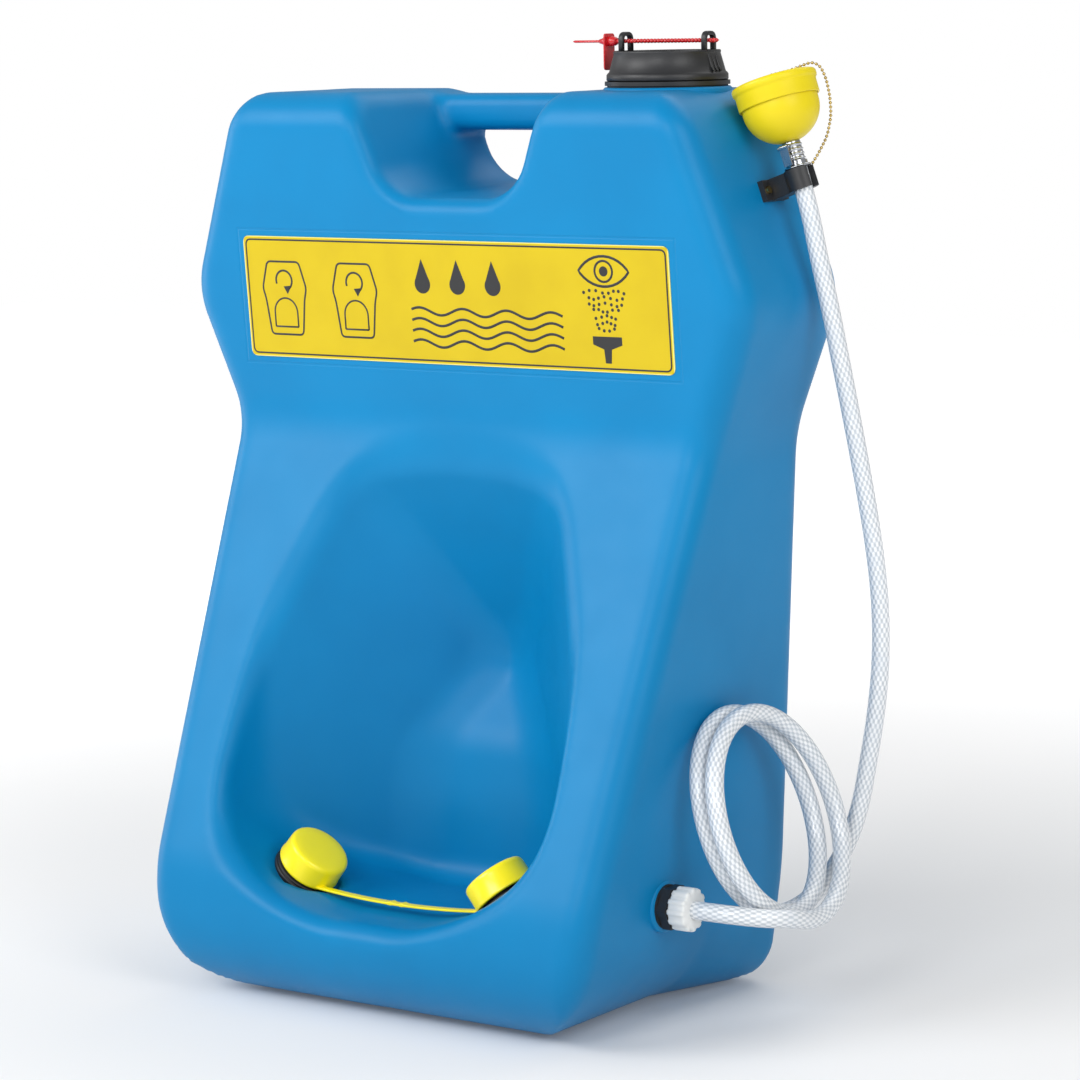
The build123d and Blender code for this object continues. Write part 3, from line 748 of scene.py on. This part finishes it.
bodyProfile = [(10, 1.5), (28.9, 1.5), (29.5, 2.1), (29.5, 4), (28.9, 4.5), (27.6, 4.7), (27.5, 5.9), (28.9, 6.1),
               (28.9, 7.4), (27.3, 7.6), (26.8, 8), (24.6, 8.4), (24.6, 27), (24, 27.6), (10, 27.6)]
capProfile = [(0.5, 30.4), (24.6, 29.8), (25, 28), (25.1, 10.6), (26, 10.5), (28.9, 10.5), (29.2, 11.2), (29.2, 12.8),
              (28.6, 13.6), (28.4, 28.6), (27.9, 30.9), (26.6, 32.5), (24.4, 33.3), (18, 33.8), (8, 34.1), (0.5, 34.1)]
for word, side in (("left", -1), ("right", 1)):
    where = nozzlePlace(side)
    settle(joined(word + "Body", [where.shell(turned(bodyProfile, 80))]), "tank", black, "black_plastic",
           "nozzle_body_" + word)
    settle(joined(word + "Cap", [where.shell(turned(capProfile, 96))]), word + "_cap", capYellow, "cap_yellow",
           "nozzle_cap_" + word)

(reachX, strapY, strapZ), sag = nozzle["strap"]
t = np.linspace(-1, 1, 61)
tick = 0.9 * np.exp(-((np.abs(t) - 0.07) / 0.022) ** 2)  # two small knobs in its middle
strapLine = np.column_stack([reachX * t, np.full(61, strapY), strapZ - sag * (1 - t**2) + 0.3 * tick])
strapPiece = joined("pullStrap", [swept(strapLine, roundRect(8, 2, 0.7), (0, 1, 0),
                                        np.column_stack([1 + 0 * t, 1 + tick]))])
settle(strapPiece, None, capYellow, "cap_yellow", "pull_strap")
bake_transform(strapPiece)
print("nozzles made")

# ---- outlet: white ribbed nut

nut = {"ribs": 12, "low": 11.4, "high": 28.0}
nutProfile = [(9, 11.4), (16.6, 11.4), (17.4, 12.2), (17.7, 13.5), (17.7, 25.8), (17.2, 27.3), (16, 28), (9, 28)]
nutShell = turned(nutProfile, 144, lambda angle, h: 1.25 * np.clip(np.cos(nut["ribs"] * angle) * 2.2, -0.3, 1))
settle(joined("hoseNut", [outletPlace.shell(nutShell)]), "hose_nut", white, "white_plastic", "hose_nut")

# ---- drench head: yellow dust cap on a black cup, ringed chrome stem, clip and bead chain

cupProfile = [(33 * cos(a), -22 + 31 * sin(a)) for a in np.radians(np.linspace(-88, 0, 20))]
cupProfile += [(33, -1), (32.4, 0), (30.8, 0), (30.5, -0.6), (30.5, -5), (0.6, -5)]
settle(joined("headCup", [headPlace.shell(turned(cupProfile, 96))]), "tank", cupYellow, "cap_yellow", "head_cup")
dustProfile = [(0.6, 0.3), (33.2, 0.3), (33.3, -17.4), (33.8, -18), (34.8, -18), (35.2, -17.2), (35.2, -6),
               (35.6, -4.6), (36.6, -3.6), (36.9, -2), (36.8, 0.6), (36, 2), (34.4, 2.6), (20, 2.7), (0.6, 2.7)]
settle(joined("dustCap", [headPlace.shell(turned(dustProfile, 96))]), "dust_cap", cupYellow, "cap_yellow",
       "dust_cap")

levels = np.linspace(-70, -54, 65)
rings = sum(0.95 * np.exp(-((levels - c) / 0.85) ** 2) for c in (-56, -60, -64, -68))
stemProfile = [(0.6, -70)] + list(zip(8 + rings, levels)) + [(7.4, -50), (0.6, -50)]
settle(joined("ringedStem", [headPlace.shell(turned(stemProfile, 64))]), "tank", chrome, "chrome", "valve_body")

chain = {
    "bead": 1.4, "pitch": 3.6, "side": (0.818, 0.575, 0),
    "route": [(0, 6.6), (7, 6.4), (17, 6.2), (28, 7.6), (36, 8), (41.5, 3), (43.5, -8), (42.5, -24),
              (39, -40), (31, -56), (20, -68), (12.4, -75)],
}
chainPlace = Place(head["rim"], headAxis, chain["side"])
chainLine = chainPlace.world([(r, 0, h) for r, h in eased([(r, h) for r, h in chain["route"]], 6, steps=5)])
travel = np.concatenate([[0], np.cumsum(np.linalg.norm(np.diff(chainLine, axis=0), axis=1))])
spots = np.arange(0, travel[-1], chain["pitch"])
beadSpots = np.stack([np.interp(spots, travel, chainLine[:, k]) for k in range(3)], -1)
chainShells = ball(beadSpots, chain["bead"], 6, 10) + [swept(chainLine, circle(0.4, 6), (0, 0, 1))]
chainPiece = joined("beadChain", chainShells)
settle(chainPiece, None, brass, "brass", "bead_chain")
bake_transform(chainPiece)
print("drench head made")

# ---- label: yellow plate with a black border; line drawings stand for the maker's words

label = {"middle": (0, 0.4, 612.5), "lean": -0.0822, "size": (460, 109.5), "radius": 7, "thick": 0.8}
labelPlace = Place(label["middle"], (0, -1, label["lean"]), (1, 0, 0))


def ribbon(path, width, closed=False):
    # a thin flat line drawn on the label along a path in its plane
    path = np.asarray(path, float)
    points = np.column_stack([path, np.full(len(path), label["thick"] + 0.06)])
    return labelPlace.shell(swept(points, roundRect(0.24, width, 0.08, 1), (0, 0, 1), closed=closed))


def filled(outline):
    return labelPlace.shell(slab(outline, label["thick"] - 0.1, label["thick"] + 0.18, 0.12))


def arc(centre, radius, first, last, count=24):
    a = np.radians(np.linspace(first, last, count))
    return np.column_stack([centre[0] + radius * np.cos(a), centre[1] + radius * np.sin(a)])


def labelDrawings():
    lines = [ribbon(eased(roundRect(453.6, 103.2, 5.5, 6), 0.2, True, 2), 1.5, True)]
    for cx in (-186, -106):  # two tanks, each with its bowl, a turning arrow and a drop
        right = [(18, -34), (22, -2), (25, 8), (18, 32)]
        body = np.array([(-18, -34)] + right + [(-18, 32), (-25, 8), (-22, -2)]) + (cx, 0)
        lines.append(ribbon(eased(body, 4, True), 1.8, True))
        lines.append(ribbon(np.vstack([[(cx - 13, -27)], arc((cx, -14), 13, 180, 0), [(cx + 13, -27)]]), 1.6))
        lines.append(ribbon([(cx - 13, -27), (cx, -27), (cx + 13, -27)], 1.6))
        lines.append(ribbon(arc((cx, 15), 9, -60, 200), 1.9))
        tip = np.array([(cx + 4.5, 7.2)])
        lines.append(filled(tip + [(-5.4, 2.4), (-1.2, -4.6), (3.6, 3.2)]))
    for k, cx in enumerate((-30, 8, 46)):  # drops over waves
        drop = np.vstack([arc((cx, 16), 8.5, -215, 35), [(cx, 38)]])
        lines.append(filled(drop))
    for k in range(4):
        x = np.linspace(-44, 118, 90)
        lines.append(ribbon(np.column_stack([x, -8 - 9.5 * k + 3.2 * np.sin(x / 7.5)]), 2.3))
    eye = np.vstack([arc((163, 13), 32, 143, 37), arc((163, 51), 32, -37, -143)])
    lines.append(ribbon(eye[::2], 2.3, True))
    lines.append(ribbon(arc((163, 32), 9.0, 0, 345), 2.0, True))
    lines.append(filled(arc((163, 32), 4.4, 0, 345)))
    lines.append(filled(np.array([(148, -24), (178, -24), (178, -31), (167, -35), (166, -47), (160, -47), (159, -35),
                                  (148, -31)], float)))
    return lines


rise = np.repeat(np.arange(7), [4, 5, 5, 6, 7, 7, 8])
across = np.concatenate([np.arange(n) - (n - 1) / 2 for n in (4, 5, 5, 6, 7, 7, 8)])
wander = np.sin(rise * 7.1 + across * 5.3)
dotX = 163 + across * (4.6 + 0.22 * rise) + wander
dots = np.column_stack([dotX, -18 + rise * 5.4 + 1.3 * np.cos(across * 4.7)])
lines = labelDrawings() + [filled(arc(d, 1.55, 0, 315, 8)) for d in dots]
settle(joined("labelDrawings", lines), "tank", black, "black_plastic")


def labelLook(v):
    # yellow film with a light cut edge: a frame |x|, |z| beyond the outline fades to white
    x, y, z = v.parts()
    edge = (abs(x) * (1 / mm)).fade(228.7, 229.1).over((abs(z - 612.5 * mm) * (1 / mm)).fade(53.6, 54.0))
    cloud = v.noise(20.0, 3.0)
    film = v.blend(cloud.fade(0.3, 0.8), colour(200, 175, 4), colour(193, 167, 2))
    return {
        "Base Color": v.blend(edge, film, colour(226, 216, 120)),
        "Roughness": 0.30 + 0.14 * cloud,
        "Normal": v.bump(v.noise(240.0, 2.0), 0.00005, 0.4),
    }


film = finish("labelFilm", {"Specular IOR Level": 0.3}, labelLook)
plate = labelPlace.shell(slab(roundRect(*label["size"], label["radius"], 8), -0.2, label["thick"], 0.2))
settle(joined("labelPlate", [plate]), "tank", film, "label_yellow", "label_plate")
print("label made")

# ---- small fittings keep their modelled form with a finish of their own

fittings = {
    "black_plastic": (black, "outlet_fitting outlet_locknut fill_neck neck_locknut nozzle_locknut_left"
                             " nozzle_locknut_right clip spray_plate spray_disc_left spray_disc_right"),
    "black_rubber": (rubber, "neck_gasket cap_gasket outlet_gasket nozzle_gasket_left nozzle_gasket_right"),
    "chrome": (chrome, "squeeze_lever lever_pin valve_plunger hose_ferrule stem_tail chain_ring chain_stud"),
    "brass": (brass, "clip_screws hose_tail"),
}
for slotName, (material, names) in fittings.items():
    for name in names.split():
        dress(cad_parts[name], material)

# ---- floor and light

studio = {
    "floor": 6.0,
    "lamps": [  # place, width, height, strength, aimed at the middle of the tank
        ((-1.7, -2.5, 2.3), 2.2, 1.6, 72),
        ((0.7, -2.9, 1.9), 1.2, 1.0, 30),
        ((2.8, -1.2, 2.0), 1.6, 1.8, 36),
        ((0.4, 1.8, 3.0), 2.6, 1.6, 24),
        ((-2.9, -0.4, 1.0), 0.9, 1.8, 16),
    ],
    "glow": 0.66,  # of the floor, far from the lamps
    "world": 0.42, "behind": 1.0,  # light that falls on things, and the plain white seen behind them
}


def floorLook(v):
    # pale painted floor with the faintest cloud; a glow that grows with distance keeps it pale far from the lamps
    cloud = v.noise(1.2, 2.0)
    x, y, _ = v.parts()
    far = v.math("SQRT", x * x + y * y).fade(0.45, 2.6)
    return {
        "Emission Color": v.blend(far, (0.12, 0.12, 0.12, 1), (1, 1, 1, 1)),
        "Base Color": v.blend(cloud.fade(0.3, 0.8), colour(228, 228, 228), colour(224, 225, 226)),
        "Roughness": 0.75 + 0.1 * cloud,
    }


half = studio["floor"]
corners = np.array([(-half, -half, 0), (half, -half, 0), (half, half, 0), (-half, half, 0)]) / mm
floorPiece = meshPiece("floor", corners, [np.array([[0, 1, 2, 3]])])
dress(floorPiece, finish("paleFloor", {"Emission Strength": studio["glow"]}, floorLook))
floorPiece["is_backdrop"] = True

for k, (spot, width, tall, power) in enumerate(studio["lamps"]):
    data = bpy.data.lights.new("lamp%d" % k, "AREA")
    data.shape, data.size, data.size_y, data.energy = "RECTANGLE", width, tall, power
    lamp = bpy.data.objects.new("lamp%d" % k, data)
    aim = Vector((0, 0, 0.4)) - Vector(spot)
    lamp.matrix_world = Matrix.Translation(spot) @ aim.to_track_quat("-Z", "Y").to_matrix().to_4x4()
    scene.collection.objects.link(lamp)

world = bpy.data.worlds.new("studio")
world.use_nodes = True
backdrop = world.node_tree.nodes["Background"]
backdrop.inputs["Color"].default_value = (1, 1, 1, 1)
seen = Value(world.node_tree).node("ShaderNodeLightPath", out="Is Camera Ray")
strength = seen * (studio["behind"] - studio["world"]) + studio["world"]
world.node_tree.links.new(strength.socket, backdrop.inputs["Strength"])
scene.world = world
scene.view_settings.view_transform = "Standard"
print("studio made")

sizes = {"cad": cadBox, "visual": [list(corner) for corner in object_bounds()]}
